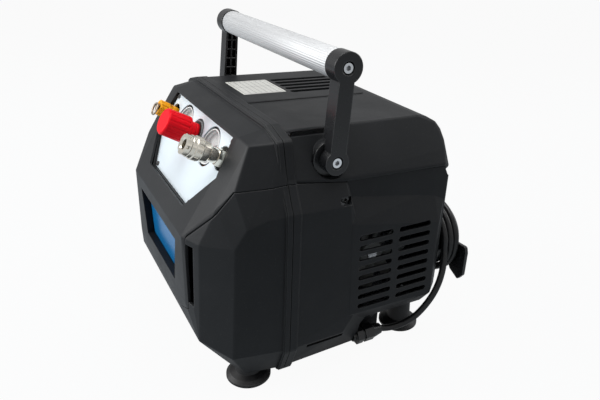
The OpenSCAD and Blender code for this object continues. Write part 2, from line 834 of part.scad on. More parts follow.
module regulator_knob() {
    in_frame() color("#c8161d") on_panel(0, fitting_v, knob_t) difference() {
        rotate_extrude() polygon([[0, 0], [11, 0], [11.6, 0.6], [11.6, 5], [knob_d / 2 - 0.4, 6.4],
            [knob_d / 2, 7.4], [knob_d / 2 - 0.5, knob_len - 1.6], [knob_d / 2 - 2, knob_len],
            [0, knob_len]]);
        translate([0, 0, -1]) cylinder(r = 4.5 + run_fit, h = 20);
        for (i = [0:15])
            rotate([0, 0, i * 22.5]) translate([knob_d / 2 + 0.7, 0, 9])
                cylinder(r = 1.5, h = knob_len, $fn = 16);
    }
}

// Gauge: stem, case with its dial at the bottom of the cup
module gauge(u) {
    on_panel(u, fitting_v) difference() {
        union() {
            translate([0, 0, -gauge_back]) cylinder(d = gauge_d, h = gauge_back - 0.6);
            translate([0, 0, -stack_t - 8]) cylinder(d = 10, h = stack_t + 8 - gauge_back + eps);
        }
        translate([0, 0, -dial_t]) cylinder(d = gauge_d - 3, h = dial_t + 1);
        translate([0, 0, -dial_t - 5]) cylinder(r = 0.9 + run_fit, h = 10);
    }
}

module tank_gauge() {
    in_frame() color("#e8e8e6") gauge(-gauge_u);
}

module outlet_gauge() {
    in_frame() color("#e8e8e6") gauge(gauge_u);
}

module needle(u) {
    on_panel(u, fitting_v, -dial_t) rotate([0, 0, 225]) union() {
        translate([0, 0, -4]) cylinder(r = 0.9, h = 5);
        translate([0, 0, 0.5]) cylinder(r = 2.2, h = 1);
        translate([0, 0, 0.7]) linear_extrude(0.5)
            polygon([[-6, -0.9], [-6, 0.9], [gauge_d / 2 - 5, 0.3], [gauge_d / 2 - 5, -0.3]]);
    }
}

module tank_gauge_needle() {
    in_frame() color("#1a1a1a") needle(-gauge_u);
}

module outlet_gauge_needle() {
    in_frame() color("#1a1a1a") needle(gauge_u);
}

module gauge_lenses() {
    in_frame() color("#dfe9ee") for (u = [-gauge_u, gauge_u])
        on_panel(u, fitting_v, -2.4) cylinder(d = gauge_d - 3, h = 1.4);
}

// Quick coupler: stem, hexagon, barrel with its socket, and the stop ring at the front
module coupler_body() {
    in_frame() color("#c2c4c8") on_panel(outlet_u, fitting_v) difference() {
        union() {
            translate([0, 0, -stack_t - 8]) cylinder(d = 13, h = stack_t + 9);
            translate([0, 0, -2]) cylinder(d = coupler_hex, h = 9, $fn = 6);
            cylinder(d = barrel_d, h = coupler_len);
            translate([0, 0, coupler_len - 5]) cylinder(d = 21, h = 5);
        }
        translate([0, 0, coupler_len - socket_len]) cylinder(d = socket_d, h = socket_len + 1);
        translate([0, 0, coupler_len - 1.4]) cylinder(d1 = socket_d, d2 = socket_d + 3, h = 1.5);
        // Notches round the stop ring
        for (i = [0:5])
            rotate([0, 0, i * 60]) translate([10.8, 0, coupler_len - 3]) cylinder(r = 1.6, h = 4, $fn = 16);
    }
}

// Sleeve that slides back on the barrel to let a plug go
module coupler_sleeve() {
    in_frame() color("#c2c4c8") on_panel(outlet_u, fitting_v, sleeve_t) difference() {
        rotate_extrude() polygon([[0, 0], [9.8, 0], [10.8, 1.4], [11.2, 8], [12.4, 9.2], [12.4, 16],
            [11.4, 17], [11.4, sleeve_len - 0.6], [10.8, sleeve_len], [0, sleeve_len]]);
        translate([0, 0, -1]) cylinder(r = barrel_d / 2 + run_fit, h = sleeve_len + 2);
        for (i = [0:11])
            rotate([0, 0, i * 30]) translate([12.9, 0, 10]) cylinder(r = 1.1, h = 5.4, $fn = 16);
    }
}

// Safety valve: stem, hexagon, spring housing
module safety_valve() {
    in_frame() color("#f29a12") on_panel(-outlet_u, fitting_v) difference() {
        union() {
            translate([0, 0, -stack_t - 8]) cylinder(d = 10, h = stack_t + 9);
            translate([0, 0, -2]) cylinder(d = 19, h = 9, $fn = 6);
            translate([0, 0, 7 - eps]) cylinder(d = 15, h = 3);
            translate([0, 0, 10 - 2 * eps]) cylinder(d = 19, h = 11);
        }
        translate([0, 0, 2]) cylinder(r = 2 + run_fit, h = 20);
        for (i = [0:11])
            rotate([0, 0, i * 30]) translate([10.2, 0, 12]) cylinder(r = 1.4, h = 10, $fn = 16);
    }
}

// Pull rod and ring that open the safety valve by hand
module safety_valve_pull() {
    in_frame() color("#b9bcc0") on_panel(-outlet_u, fitting_v) union() {
        translate([0, 0, 6]) cylinder(r = 2, h = 15.6);
        translate([0, 0, 21.4]) cylinder(d = 8, h = 1.8);
        translate([0, -3.4, 23.9]) rotate_extrude() translate([7, 0]) circle(r = 1.2, $fn = 16);
    }
}

// Cast block behind the panel that joins the tank line to all five fittings
module air_manifold() {
    in_frame() color("#9a9da1") difference() {
        on_panel(0, fitting_v, -stack_t - 22)
            linear_extrude(22) offset(r = 5) square([2 * outlet_u + 12, 20], center = true);
        on_panel(0, fitting_v, -stack_t - 8) cylinder(d = 12, h = 20);
        for (u = [-gauge_u, gauge_u])
            on_panel(u, fitting_v, -stack_t - 8) cylinder(d = 10, h = 20);
        on_panel(outlet_u, fitting_v, -stack_t - 8) cylinder(d = 13, h = 20);
        on_panel(-outlet_u, fitting_v, -stack_t - 8) cylinder(d = 10, h = 20);
    }
}

// Rigid line from the tank up to the manifold
module supply_pipe() {
    low = tank_top(supply_y) - 3;
    in_frame() color("#a9794a") difference() {
        union() {
            on_panel(supply_x, fitting_v + 15, -stack_t - 11) rotate([90, 0, 0])
                cylinder(d = 8, h = supply_drop);
            on_panel(supply_x, fitting_v + 15 + supply_drop, -stack_t - 11) sphere(d = 12);
            translate([supply_x, supply_y, low]) cylinder(d = 8, h = supply_bend_z - low);
            translate([supply_x, supply_y, low]) cylinder(d = 16, h = 12, $fn = 6);
        }
        bar_x(-tank_x, tank_x, tank_y, tank_z, tank_d / 2);
    }
}

// ---------------------------------------------------------------- tank

function tank_top(y) = tank_z + sqrt(pow(tank_d / 2, 2) - pow(y - tank_y, 2));

// Welded steel tank lying across the machine, with dished ends
module air_tank() {
    in_frame() color("#3b3d41") difference() {
        union() {
            translate([0, tank_y, tank_z]) rotate([0, 90, 0]) rotate_extrude()
                polygon(concat([[0, -tank_x], [0, tank_x]], tank_end(1), tank_end(-1)));
            // Bungs for the check valve, the pressure switch and the drain
            translate([-74, check_y, check_low - 12]) cylinder(d = 20, h = 12);
            translate([bung_x, bung_y, bung_z - 9]) cylinder(d = 20, h = 9);
            translate([0, drain_y, drain_top]) cylinder(d = 18, h = 9);
        }
        translate([0, tank_y, tank_z]) rotate([0, 90, 0])
            cylinder(d = tank_d - 5, h = 2 * tank_weld, center = true);
    }
}

// Half profile of one dished end, from the middle of the dish to the weld or back
function tank_end(side) = [for (i = side > 0 ? [1:8] : [8:-1:1])
    let (a = 90 * i / 8) [tank_d / 2 * sin(a), side * (tank_weld + (tank_x - tank_weld) * cos(a))]];

module tank_saddles() {
    in_frame() color("#8b8f94") difference() {
        for (x = [-tank_weld + 14, tank_weld - 30])
            translate([x, tank_y - 36, chassis_z + chassis_t]) cube([16, 72, 30]);
        bar_x(-body_w, body_w, tank_y, tank_z, tank_d / 2 + 0.1);
        for (x = [-tank_weld + 17, tank_weld - 27])
            translate([x, tank_y - 60, chassis_z + chassis_t + 3]) cube([10, 120, 40]);
    }
}

// Non-return valve between the pump and the tank
module check_valve() {
    in_frame() color("#c79a45") translate([-74, check_y, check_low]) union() {
        cylinder(d = 19, h = 9, $fn = 6);
        translate([0, 0, 9 - eps]) cylinder(d = 13, h = 8);
        translate([0, 0, 17 - 2 * eps]) cylinder(d = 16, h = 7, $fn = 6);
    }
}

module drain_valve() {
    in_frame() color("#c79a45") translate([0, drain_y, 0]) difference() {
        union() {
            translate([0, 0, 13]) cylinder(d = 13, h = drain_top - 13);
            translate([0, 0, drain_top - 6]) cylinder(d = 17, h = 6, $fn = 6);
        }
        translate([0, 0, 12]) cylinder(r = 3 + run_fit, h = 10);
    }
}

// Wing screw that opens the drain
module drain_tap() {
    in_frame() color("#c79a45") translate([0, drain_y, 0]) union() {
        translate([0, 0, 9]) cylinder(r = 3, h = 12);
        translate([0, 0, 6]) cylinder(d = 10, h = 6.6);
        translate([-11, -1.5, 4.5]) cube([22, 3, 6]);
    }
}

// Pressure switch on its nipple above the tank
module pressure_switch() {
    in_frame() color("#2f3136") translate([bung_x, bung_y, bung_z]) union() {
        cylinder(d = 16, h = 10, $fn = 6);
        translate([-27, -20, 9]) cube([54, 44, 36]);
        translate([-20, -14, 44]) cube([40, 32, 6]);
    }
}

// ---------------------------------------------------------------- motor and pump

module motor_stator() {
    in_frame() color("#85888c") difference() {
        union() {
            bar_x(motor_x0, motor_x1, motor_y, motor_z, motor_d / 2);
            bar_x(motor_x0 - 10, motor_x1 + 10, motor_y, motor_z, motor_d / 2 - 12);
            for (x = [motor_x0 + 8, motor_x1 - 22])
                translate([x, motor_y - 30, chassis_rear_z + chassis_t])
                    cube([14, 60, motor_z - motor_d / 2 - chassis_rear_z + 8]);
        }
        bar_x(motor_x0 - 20, motor_x1 + 20, motor_y, motor_z, rotor_d / 2 + 0.5);
        for (i = [0:11])
            translate([motor_x0 - 1, motor_y, motor_z]) rotate([i * 30 + 15, 0, 0])
                translate([0, -1.5, motor_d / 2 - 3]) cube([motor_x1 - motor_x0 + 2, 3, 5]);
    }
}

// Shaft with the squirrel cage, carried by the crankcase and by the end shield
module rotor_shaft() {
    in_frame() color("#a6a9ad") union() {
        bar_x(pump_x - 37, fan_x + 14, motor_y, motor_z, shaft_d / 2);
        bar_x(motor_x0, motor_x1, motor_y, motor_z, rotor_d / 2);
    }
}

module cooling_fan() {
    fan_r = motor_d / 2 - 3;
    in_frame() color("#d8d8d4") translate([fan_x, motor_y, motor_z]) rotate([0, 90, 0])
        difference() {
            union() {
                cylinder(d = 30, h = 12);
                for (i = [0:fan_blades - 1])
                    rotate([0, 0, i * 360 / fan_blades]) translate([12, 0, 6]) rotate([35, 0, 0])
                        translate([0, -8, -0.9]) cube([fan_r - 13, 16, 1.8]);
            }
            translate([0, 0, -1]) cylinder(d = shaft_d, h = 20);
        }
}

// Aluminium end shield: bearing hub, spokes and the bright ring round the fan
module fan_shroud() {
    ring_r = motor_d / 2 + 3;
    in_frame() color("#d4d6d9") translate([motor_x1, motor_y, motor_z]) rotate([0, 90, 0])
        difference() {
            union() {
                difference() {
                    cylinder(r = ring_r, h = fan_x - motor_x1 + 16);
                    translate([0, 0, 12]) cylinder(r = ring_r - 2.5, h = 80);
                    translate([0, 0, -1]) cylinder(r = motor_d / 2 - 11.5, h = 80);
                }
                translate([0, 0, 13]) cylinder(d = bearing_d + 8, h = 13);
                for (i = [0:2])
                    rotate([0, 0, i * 120 + 30]) translate([bearing_d / 2 + 2, -5, 14])
                        cube([ring_r - bearing_d / 2 - 3, 10, 5]);
            }
            translate([0, 0, 12]) cylinder(d = bearing_d, h = 20);
        }
}

// Ball bearings: one in the end shield and two in the crankcase
module shaft_bearings() {
    in_frame() color("#cfd1d4")
        for (x = [motor_x1 + 15, pump_x + 29, pump_x - 38])
            difference() {
                bar_x(x, x + 9, motor_y, motor_z, bearing_d / 2);
                bar_x(x - 1, x + 10, motor_y, motor_z, shaft_d / 2 + run_fit);
            }
}

// Run capacitor clipped on top of the motor
module capacitor() {
    top = motor_z + motor_d / 2;
    in_frame() color("#d9dadb") union() {
        bar_x(motor_x0 + 8, motor_x1 - 8, motor_y, top + 20, 16);
        difference() {
            translate([motor_x0 + 24, motor_y - 9, top - 1.5]) cube([24, 18, 12]);
            bar_x(motor_x0, motor_x1, motor_y, motor_z, motor_d / 2);
        }
    }
}

module crankcase() {
    in_frame() color("#9a9da1") difference() {
        union() {
            along_x(pump_x - 42, pump_x + 40) offset(r = 10)
                translate([motor_y, motor_z]) square([58, 66], center = true);
            for (x = [pump_x - 36, pump_x + 22])
                translate([x, motor_y - 38, chassis_rear_z + chassis_t])
                    cube([14, 76, motor_z - 43 - chassis_rear_z - chassis_t + 4]);
            // The case reaches the end of the stator
            bar_x(pump_x + 39, motor_x0 - 10.3, motor_y, motor_z, 30);
        }
        bar_x(pump_x - 28, pump_x + 28, motor_y, motor_z, 33);
        bar_x(pump_x - 38, pump_x + 38, motor_y, motor_z, bearing_d / 2);
        bar_x(pump_x + 37, motor_x0, motor_y, motor_z, shaft_d / 2 + 1);
    }
}

module pump_cylinder() {
    in_frame() color("#a9acb0") translate([pump_x, motor_y, case_top]) difference() {
        union() {
            cylinder(d = 50, h = cyl_len);
            for (i = [0:4])
                translate([0, 0, 5 + i * 8]) cylinder(d = 70, h = 2.5);
            translate([-32, -32, cyl_len - 4]) cube([64, 64, 4]);
        }
        translate([0, 0, 6]) cylinder(d = 40, h = cyl_len - 10);
    }
}

module cylinder_head() {
    in_frame() color("#a9acb0") translate([pump_x, motor_y, case_top + cyl_len]) difference() {
        translate([-34, -34, 0]) cube([68, 68, 22]);
        for (i = [0:5])
            translate([-29 + i * 10.5, -40, 12]) cube([6, 80, 12]);
    }
}

module intake_filter() {
    in_frame() color("#2b2c2f")
        translate([pump_x - 34 - 22, motor_y, case_top + cyl_len + 6]) rotate([0, 90, 0]) union() {
            cylinder(d = 30, h = 14);
            translate([0, 0, 14 - eps]) cylinder(d = 11, h = 8 + eps);
        }
}

// Rigid line from the cylinder head down to the check valve
module delivery_pipe() {
    high = case_top + cyl_len + 6;
    low = check_low + 24 - 2 * eps;
    in_frame() color("#a9794a") translate([pump_x, 0, 0]) union() {
        translate([0, motor_y - 34, high]) rotate([90, 0, 0])
            cylinder(d = pipe_d, h = motor_y - 34 - check_y - pipe_bend + pipe_lap);
        // Soldered elbow
        translate([0, check_y + pipe_bend, high - pipe_bend]) rotate([90, 0, -90])
            rotate_extrude(angle = 90) translate([pipe_bend, 0]) circle(d = pipe_d + 2);
        translate([0, check_y, low]) cylinder(d = pipe_d, h = high - pipe_bend - low + pipe_lap);
    }
}

// ---------------------------------------------------------------- switch, winder and cord

module switch_housing() {
    in_frame() color("#1e1f21") translate([switch_x, rear_y, switch_z]) difference() {
        union() {
            translate([-switch_w / 2 - 2, eps, -switch_h / 2 - 2]) cube([switch_w + 4, 2, switch_h + 4]);
            translate([-switch_w / 2, -22, -switch_h / 2]) cube([switch_w, 23, switch_h]);
        }
        translate([-rocker_w / 2 - 0.4, -9, -switch_h / 2 + 1.5]) cube([rocker_w + 0.8, 20, switch_h - 3]);
        bar_x(-switch_w / 2 + 1, switch_w / 2 - 1, -1.5, 0, 1.25 + run_fit);
    }
}

module switch_rocker() {
    in_frame() color("#b5121b") translate([switch_x, rear_y - 1.5, switch_z]) rotate([-8, 0, 0]) union() {
        bar_x(-rocker_w / 2 - 1.6, rocker_w / 2 + 1.6, 0, 0, 1.25);
        along_x(-rocker_w / 2, rocker_w / 2) polygon([[-4, -3], [-4, 3], [3, switch_h / 2 - 2.6],
            [4.6, switch_h / 2 - 2.8], [3.4, 0], [4.6, 2.8 - switch_h / 2], [3, 2.6 - switch_h / 2]]);
    }
}

// Half collar that the cord is wound on, with a tab at its top and one below, outside
module winder() {
    in_frame() translate([winder_x, 0, winder_z]) union() {
        along_y(rear_y + eps, rear_y + winder_len) intersection() {
            winder_ring(winder_r, winder_r - 4);
            pie(-60, 145, 80);
        }
        along_y(rear_y + winder_len - 4, rear_y + winder_len) intersection() {
            winder_ring(winder_r + 13, winder_r - 3);
            pie(108, 144, 90);
        }
        along_y(rear_y + winder_len - 4, rear_y + winder_len) winder_tab();
        // Screwed foot against the rear wall
        along_y(rear_y + eps, rear_y + 3.4) intersection() {
            winder_ring(winder_r - 2, winder_r - 15);
            pie(-58, 143, 80);
        }
    }
}

module winder_ring(outer, inner) {
    difference() {
        circle(r = outer);
        circle(r = inner);
    }
}

// Broad tab that hangs down outside the collar
module winder_tab() {
    offset(r = 3, $fn = 16) polygon([[winder_r - 4, -2], [winder_r + 14, -1],
        [winder_r + 15.5, -6], [winder_r + 15.5, 5 - winder_r], [winder_r + 10, -winder_r - 2],
        [winder_r - 3, -winder_r + 4], [winder_r * 0.7, -winder_r * 0.53]]);
}

module pie(a0, a1, r) {
    polygon(concat([[0, 0]], [for (i = [0:8]) let (a = a0 + (a1 - a0) * i / 8) r * [cos(a), sin(a)]]));
}

module winder_right() {
    color("#202124") winder();
}

module winder_left() {
    color("#202124") mirror([1, 0, 0]) winder();
}

// Strain relief gland screwed into the front wall of its pocket
module cord_gland() {
    in_frame() color("#202124") translate([gland_x, 0, gland_z]) difference() {
        union() {
            bar_y(gland_y - wall - 1, gland_y + 12, 0, 0, gland_d / 2);
            translate([0, gland_y + 8, 0]) rotate([90, 0, 0]) cylinder(d = gland_hex, h = 8 - eps, $fn = 6);
            bar_y(gland_y + 7, gland_y + 12, 0, 0, gland_hex / 2 - 3);
            translate([0, gland_y + 11, 0]) rotate([-90, 0, 0]) cylinder(d = gland_hex, h = 12, $fn = 6);
            translate([0, gland_y + 23 - eps, 0]) rotate([-90, 0, 0])
                cylinder(d1 = gland_hex - 3, d2 = 13, h = gland_tip - gland_y - 23);
        }
        bar_y(gland_y + 6, gland_tip + 5, 0, 0, cord_d / 2 + 0.2);
    }
}

module bar_y(y0, y1, x, z, r) {
    translate([x, y0, z]) rotate([-90, 0, 0]) cylinder(r = r, h = y1 - y0);
}

module cord_lead() {
    in_frame() color("#161617") swept(lead_route, cord_d / 2, [1, 0, 0], 10);
}

// Outer shape of the wound cord: a ring with straight runs between the two collars
module cord_winding() {
    in_frame() color("#161617") translate([0, 0, winder_z]) along_y(winding_y, winding_y + winding_t)
        difference() {
            winding_outline(winding_r + cord_d / 2);
            winding_outline(winding_r - cord_d / 2);
        }
}

module winding_outline(r) {
    translate([-winder_x, 0]) circle(r = r);
    translate([winder_x, 0]) circle(r = r);
    translate([-winder_x, -r]) square([2 * winder_x, 2 * r]);
}

module cord_tail() {
    in_frame() color("#161617") swept(tail_route, cord_d / 2, [0, 1, 0], 10);
}

// Mains plug lying along the lower run of the winding
module plug() {
    tip = tail_route[len(tail_route) - 1];
    in_frame() color("#1c1c1e") translate([tip[0], tip[1], tip[2]]) rotate([0, 90, 0]) union() {
        cylinder(d1 = 12, d2 = 20, h = 16);
        translate([0, 0, 16 - eps]) cylinder(d1 = 20, d2 = plug_d, h = 6);
        translate([0, 0, 22 - 2 * eps]) cylinder(d = plug_d, h = plug_len - 41);
        for (side = [-1, 1])
            translate([0, side * 9.5, plug_len - 19.5]) cylinder(d = 4.8, h = 19.5);
    }
}

front_frame();
front_lower_shell();
top_cover();
rear_lower_shell();
control_panel();
window_plate();
chassis_plate();
front_feet();
rear_feet();
foot_screws();
shell_screws();
panel_screws();
handle_tube();
handle_arm_right();
handle_arm_left();
handle_tube_bolts();
hinge_washers();
hinge_bolts();
hinge_nuts();
handle_straps();
regulator_body();
regulator_knob();
tank_gauge();
tank_gauge_needle();
outlet_gauge();
outlet_gauge_needle();
gauge_lenses();
coupler_body();
coupler_sleeve();
safety_valve();
safety_valve_pull();
air_manifold();
pressure_switch();
supply_pipe();
air_tank();
tank_saddles();
check_valve();
drain_valve();
drain_tap();
motor_stator();
rotor_shaft();
cooling_fan();
fan_shroud();
shaft_bearings();
capacitor();
crankcase();
pump_cylinder();
cylinder_head();
intake_filter();
delivery_pipe();
switch_housing();
switch_rocker();
winder_right();
winder_left();
cord_gland();
cord_lead();
cord_winding();
cord_tail();
plug();
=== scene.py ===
"""Looks of the portable air compressor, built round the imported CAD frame.

Metres, in the CAD's frame: +X to the vented side, +Y to the rear, +Z up, origin on the floor under
the middle of the machine. Points that go through at() are in millimetres.
"""

import json
import math

import bmesh
import bpy
from mathutils import Matrix, Vector


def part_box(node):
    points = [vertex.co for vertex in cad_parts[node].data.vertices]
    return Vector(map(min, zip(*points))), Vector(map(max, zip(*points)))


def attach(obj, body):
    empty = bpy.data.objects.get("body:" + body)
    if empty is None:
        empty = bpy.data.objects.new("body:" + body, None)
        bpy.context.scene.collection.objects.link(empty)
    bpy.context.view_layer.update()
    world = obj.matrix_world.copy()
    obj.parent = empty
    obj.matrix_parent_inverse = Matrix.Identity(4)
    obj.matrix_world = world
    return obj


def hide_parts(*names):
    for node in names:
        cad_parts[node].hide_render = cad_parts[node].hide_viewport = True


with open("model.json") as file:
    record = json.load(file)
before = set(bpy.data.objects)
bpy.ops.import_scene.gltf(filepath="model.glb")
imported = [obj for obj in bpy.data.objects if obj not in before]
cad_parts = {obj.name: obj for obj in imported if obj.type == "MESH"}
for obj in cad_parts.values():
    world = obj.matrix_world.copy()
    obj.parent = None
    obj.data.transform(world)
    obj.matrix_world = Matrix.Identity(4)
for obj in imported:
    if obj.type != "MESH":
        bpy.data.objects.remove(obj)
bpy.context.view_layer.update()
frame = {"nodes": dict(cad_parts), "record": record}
nodes = frame["nodes"]
scene = bpy.context.scene
MM = 0.001
MID_Y = 104.0  # the CAD's front feet line lies this far ahead of the origin
BLACK, WHITE = (0, 0, 0), (1, 1, 1)


def at(x, y, z):
    """A point of the CAD's own layout, in millimetres from the line of the front feet, in metres."""
    return Vector((x * MM, (y - MID_Y) * MM, z * MM))


# ------------------------------------------------------------------ camera

CAMERA_PLACE = (0.6074, -0.30167, 0.459)
CAMERA_TURN = (58.04, 23.4, -3.67)  # azimuth, elevation and roll, in degrees
LENS, SENSOR = 34.657, 36
LENS_SHIFT = (-40 / 600, -10 / 600)  # in widths of the picture


def make_camera():
    """The camera of the photo, as solved from the machine's own edges."""
    az, el, roll = (math.radians(a) for a in CAMERA_TURN)
    back = Vector((math.sin(az) * math.cos(el), -math.cos(az) * math.cos(el), math.sin(el)))
    right = Vector((math.cos(az), math.sin(az), 0))
    up = back.cross(right)
    turned_right = right * math.cos(roll) - up * math.sin(roll)
    turned_up = right * math.sin(roll) + up * math.cos(roll)
    data = bpy.data.cameras.new("camera")
    data.sensor_width = SENSOR
    data.lens = LENS
    data.shift_x, data.shift_y = LENS_SHIFT
    data.clip_start = 0.01
    data.clip_end = 50
    camera = bpy.data.objects.new("camera", data)
    scene.collection.objects.link(camera)
    camera.matrix_world = Matrix.LocRotScale(
        Vector(CAMERA_PLACE), Matrix((turned_right, turned_up, back)).transposed(), None)
    scene.camera = camera


make_camera()

# ------------------------------------------------------------------ shader nodes


class Shader:
    """A Principled material, with small helpers that add nodes to it."""

    def __init__(self, name, color, rough, metal=0.0, spec=0.5):
        self.material = bpy.data.materials.new(name)
        self.material.use_nodes = True
        self.tree = self.material.node_tree
        self.surface = self.tree.nodes["Principled BSDF"]
        self.set("Base Color", (*color, 1))
        self.set("Roughness", rough)
        self.set("Metallic", metal)
        self.set("Specular IOR Level", spec)
        self.coord = self.node("ShaderNodeTexCoord").outputs["Object"]
        self.normal = None

    def node(self, kind, **settings):
        n = self.tree.nodes.new(kind)
        for key, value in settings.items():
            setattr(n, key, value)
        return n

    def feed(self, socket, value):
        """Links another node's output to the socket, or sets it to a plain value."""
        if isinstance(value, bpy.types.NodeSocket):
            self.tree.links.new(value, socket)
        else:
            socket.default_value = value

    def set(self, name, value):
        self.feed(self.surface.inputs[name], value)
        return self

    def texture(self, kind, stretch, **values):
        """A texture node in object coordinates, which stretch scales along each axis."""
        n = self.node(kind)
        for key, value in values.items():
            n.inputs[key].default_value = value
        coord = self.coord
        if stretch:
            mapping = self.node("ShaderNodeMapping")
            mapping.inputs["Scale"].default_value = stretch
            self.feed(mapping.inputs["Vector"], coord)
            coord = mapping.outputs["Vector"]
        self.feed(n.inputs["Vector"], coord)
        return n

    def noise(self, scale, detail=3.0, rough=0.5, stretch=None):
        n = self.texture("ShaderNodeTexNoise", stretch, Scale=scale, Detail=detail, Roughness=rough)
        return n.outputs["Fac"]

    def cells(self, scale):
        return self.texture("ShaderNodeTexVoronoi", None, Scale=scale).outputs["Distance"]

    def span(self, value, low, high, a, b):
        """value from low..high mapped to a..b, held at the ends."""
        n = self.node("ShaderNodeMapRange")
        for key, v in (("From Min", low), ("From Max", high), ("To Min", a), ("To Max", b)):
            n.inputs[key].default_value = v
        self.feed(n.inputs["Value"], value)
        return n.outputs["Result"]

    def mix(self, share, a, b):
        """Colour a where share is 0, colour b where it is 1."""
        n = self.node("ShaderNodeMix", data_type="RGBA")
        share_in, a_in, b_in = n.inputs[0], n.inputs[6], n.inputs[7]
        self.feed(share_in, share)
        for socket, color in ((a_in, a), (b_in, b)):
            self.feed(socket, (*color, 1) if isinstance(color, tuple) else color)
        return n.outputs[2]

    def bump(self, height, strength, distance):
        """Adds to the bumps that the material already has."""
        n = self.node("ShaderNodeBump")
        n.inputs["Strength"].default_value = strength
        n.inputs["Distance"].default_value = distance
        self.feed(n.inputs["Height"], height)
        if self.normal:
            self.feed(n.inputs["Normal"], self.normal)
        self.normal = n.outputs["Normal"]
        self.set("Normal", self.normal)

    def bevel(self, wide):
        n = self.node("ShaderNodeBevel", samples=6)
        n.inputs["Radius"].default_value = wide
        return n.outputs["Normal"]

    def soft_edges(self, wide):
        """Rounds the shading of sharp edges over about `wide` metres, as a moulding or a coat does.

        It shows through the material's first bump.
        """
        self.normal = self.bevel(wide)
        return self

    def worn(self, base, wide, amount, bare_and_highlight_colour):
        """base, its outer edges lightened within about `wide` metres: rubbed edges, and on the
        plastics mostly a painted highlight.
        """
        dot = self.node("ShaderNodeVectorMath", operation="DOT_PRODUCT")
        self.feed(dot.inputs[0], self.bevel(wide))
        self.feed(dot.inputs[1], self.node("ShaderNodeNewGeometry").outputs["Normal"])
        rub_and_highlight = self.node("ShaderNodeMath", operation="MULTIPLY")
        self.feed(rub_and_highlight.inputs[0], self.span(dot.outputs["Value"], 1.0, 0.86, 0.0, 1.0))
        self.feed(rub_and_highlight.inputs[1], amount)
        return self.mix(rub_and_highlight.outputs[0], base, bare_and_highlight_colour)

    def recess(self, reach):
        """Painted shade mask: 0 in the open, rising to 1 deep inside sockets, grooves and gaps under
        `reach` metres.
        """
        ao = self.node("ShaderNodeAmbientOcclusion", samples=8)
        ao.inputs["Distance"].default_value = reach
        return self.span(ao.outputs["AO"], 0.72, 0.25, 0.0, 1.0)


def mix_rgb(a, b, t):
    return tuple(x + (y - x) * t for x, y in zip(a, b))


def plastic(name, color, rough=0.5, grain=1800, depth=0.00006, strength=0.5, edge_wear_and_highlight=0.25, dust=0.12,
            spec=0.5, soft=0.0012):
    """Moulded plastic: spark-eroded grain, cloudy tone, dust, edges rubbed and lit by a painted
    highlight, and painted shade in its hollows.
    """
    s = Shader(name, color, rough, spec=spec).soft_edges(soft)
    cloud = s.noise(9, 4, 0.6)
    speck = s.noise(420, 2, 0.6)
    darker, lighter = mix_rgb(color, BLACK, 0.1), mix_rgb(color, WHITE, 0.004)
    base = s.mix(s.span(cloud, 0.35, 0.7, 0.0, 1.0), darker, lighter)
    base = s.mix(s.span(speck, 0.62, 0.8, 0.0, dust), base, mix_rgb(color, (0.6, 0.6, 0.58), 0.16))
    # Painted highlight: the edges are lightened toward white, with some rubbing too.
    base = s.worn(base, 0.0012, edge_wear_and_highlight, mix_rgb(color, WHITE, 0.07))
    # Painted shade: sockets, grooves and gaps darkened toward black.
    base = s.mix(s.recess(0.006), base, mix_rgb(color, BLACK, 0.75))
    s.set("Base Color", base)
    s.set("Roughness", s.span(s.noise(24, 5, 0.6), 0.3, 0.75, rough - 0.05, rough + 0.06))
    s.bump(s.noise(grain, 2, 0.5), strength, depth)
    s.bump(s.noise(14, 3, 0.5), 0.05, 0.002)
    return s


def metal(name, color, rough, brushed=None, spots=0.12, tint=(0.5, 0.46, 0.4), pits=0.15):
    """Worked metal: faint directional polish, tarnish in patches, brighter rubbed edges and painted
    shade in its hollows.
    """
    s = Shader(name, color, rough, metal=1.0)
    patch = s.noise(55, 5, 0.62)
    tarnish = tuple(c * t * 1.4 for c, t in zip(color, tint))
    base = s.mix(s.span(patch, 0.45, 0.8, 0.0, spots), color, tarnish)
    base = s.worn(base, 0.0006, 0.5, mix_rgb(color, WHITE, 0.45))
    # Painted shade: sockets and gaps darkened nearly to black.
    base = s.mix(s.recess(0.004), base, mix_rgb(color, BLACK, 0.9))
    s.set("Base Color", base)
    lines = s.noise(900, 3, 0.6, stretch=brushed) if brushed else s.noise(500, 4, 0.6)
    s.set("Roughness", s.span(lines, 0.25, 0.8, rough * 0.75, rough * 1.35))
    s.bump(lines, 0.25, 0.00005)
    s.bump(s.cells(1500), pits, 0.00005)
    return s


def painted(name, color, rough=0.38, peel=260, edge_wear_and_highlight=0.3, bare_and_highlight_colour=(0.5, 0.5, 0.5)):
    """Powder coat with its orange peel, rubbed edges and faint soiling."""
    s = Shader(name, color, rough).soft_edges(0.0004)
    soiled = mix_rgb(color, (0.3, 0.28, 0.25), 0.10)
    base = s.mix(s.span(s.noise(18, 5, 0.6), 0.35, 0.75, 0.0, 0.5), color, soiled)
    base = s.worn(base, 0.0006, edge_wear_and_highlight, bare_and_highlight_colour)
    s.set("Base Color", base)
    s.set("Roughness", s.span(s.noise(90, 4, 0.6), 0.3, 0.8, rough - 0.06, rough + 0.09))
    s.bump(s.noise(peel, 2, 0.5), 0.35, 0.00012)
    return s


def anodised(name, color, rough=0.5):
    """Satin anodised tube: even, with faint die lines along its length and a few rubbed patches."""
    s = Shader(name, color, rough, metal=0.35)
    lines = s.noise(140, 2, 0.5, stretch=(0.004, 1, 1))
    rubbed = mix_rgb(color, (0.4, 0.4, 0.4), 0.25)
    base = s.mix(s.span(lines, 0.3, 0.7, 0.0, 1.0), mix_rgb(color, BLACK, 0.1), color)
    base = s.mix(s.span(s.noise(26, 4, 0.6), 0.55, 0.8, 0.0, 0.3), base, rubbed)
    s.set("Base Color", base)
    s.set("Roughness", s.span(lines, 0.25, 0.8, rough - 0.05, rough + 0.06))
    return s


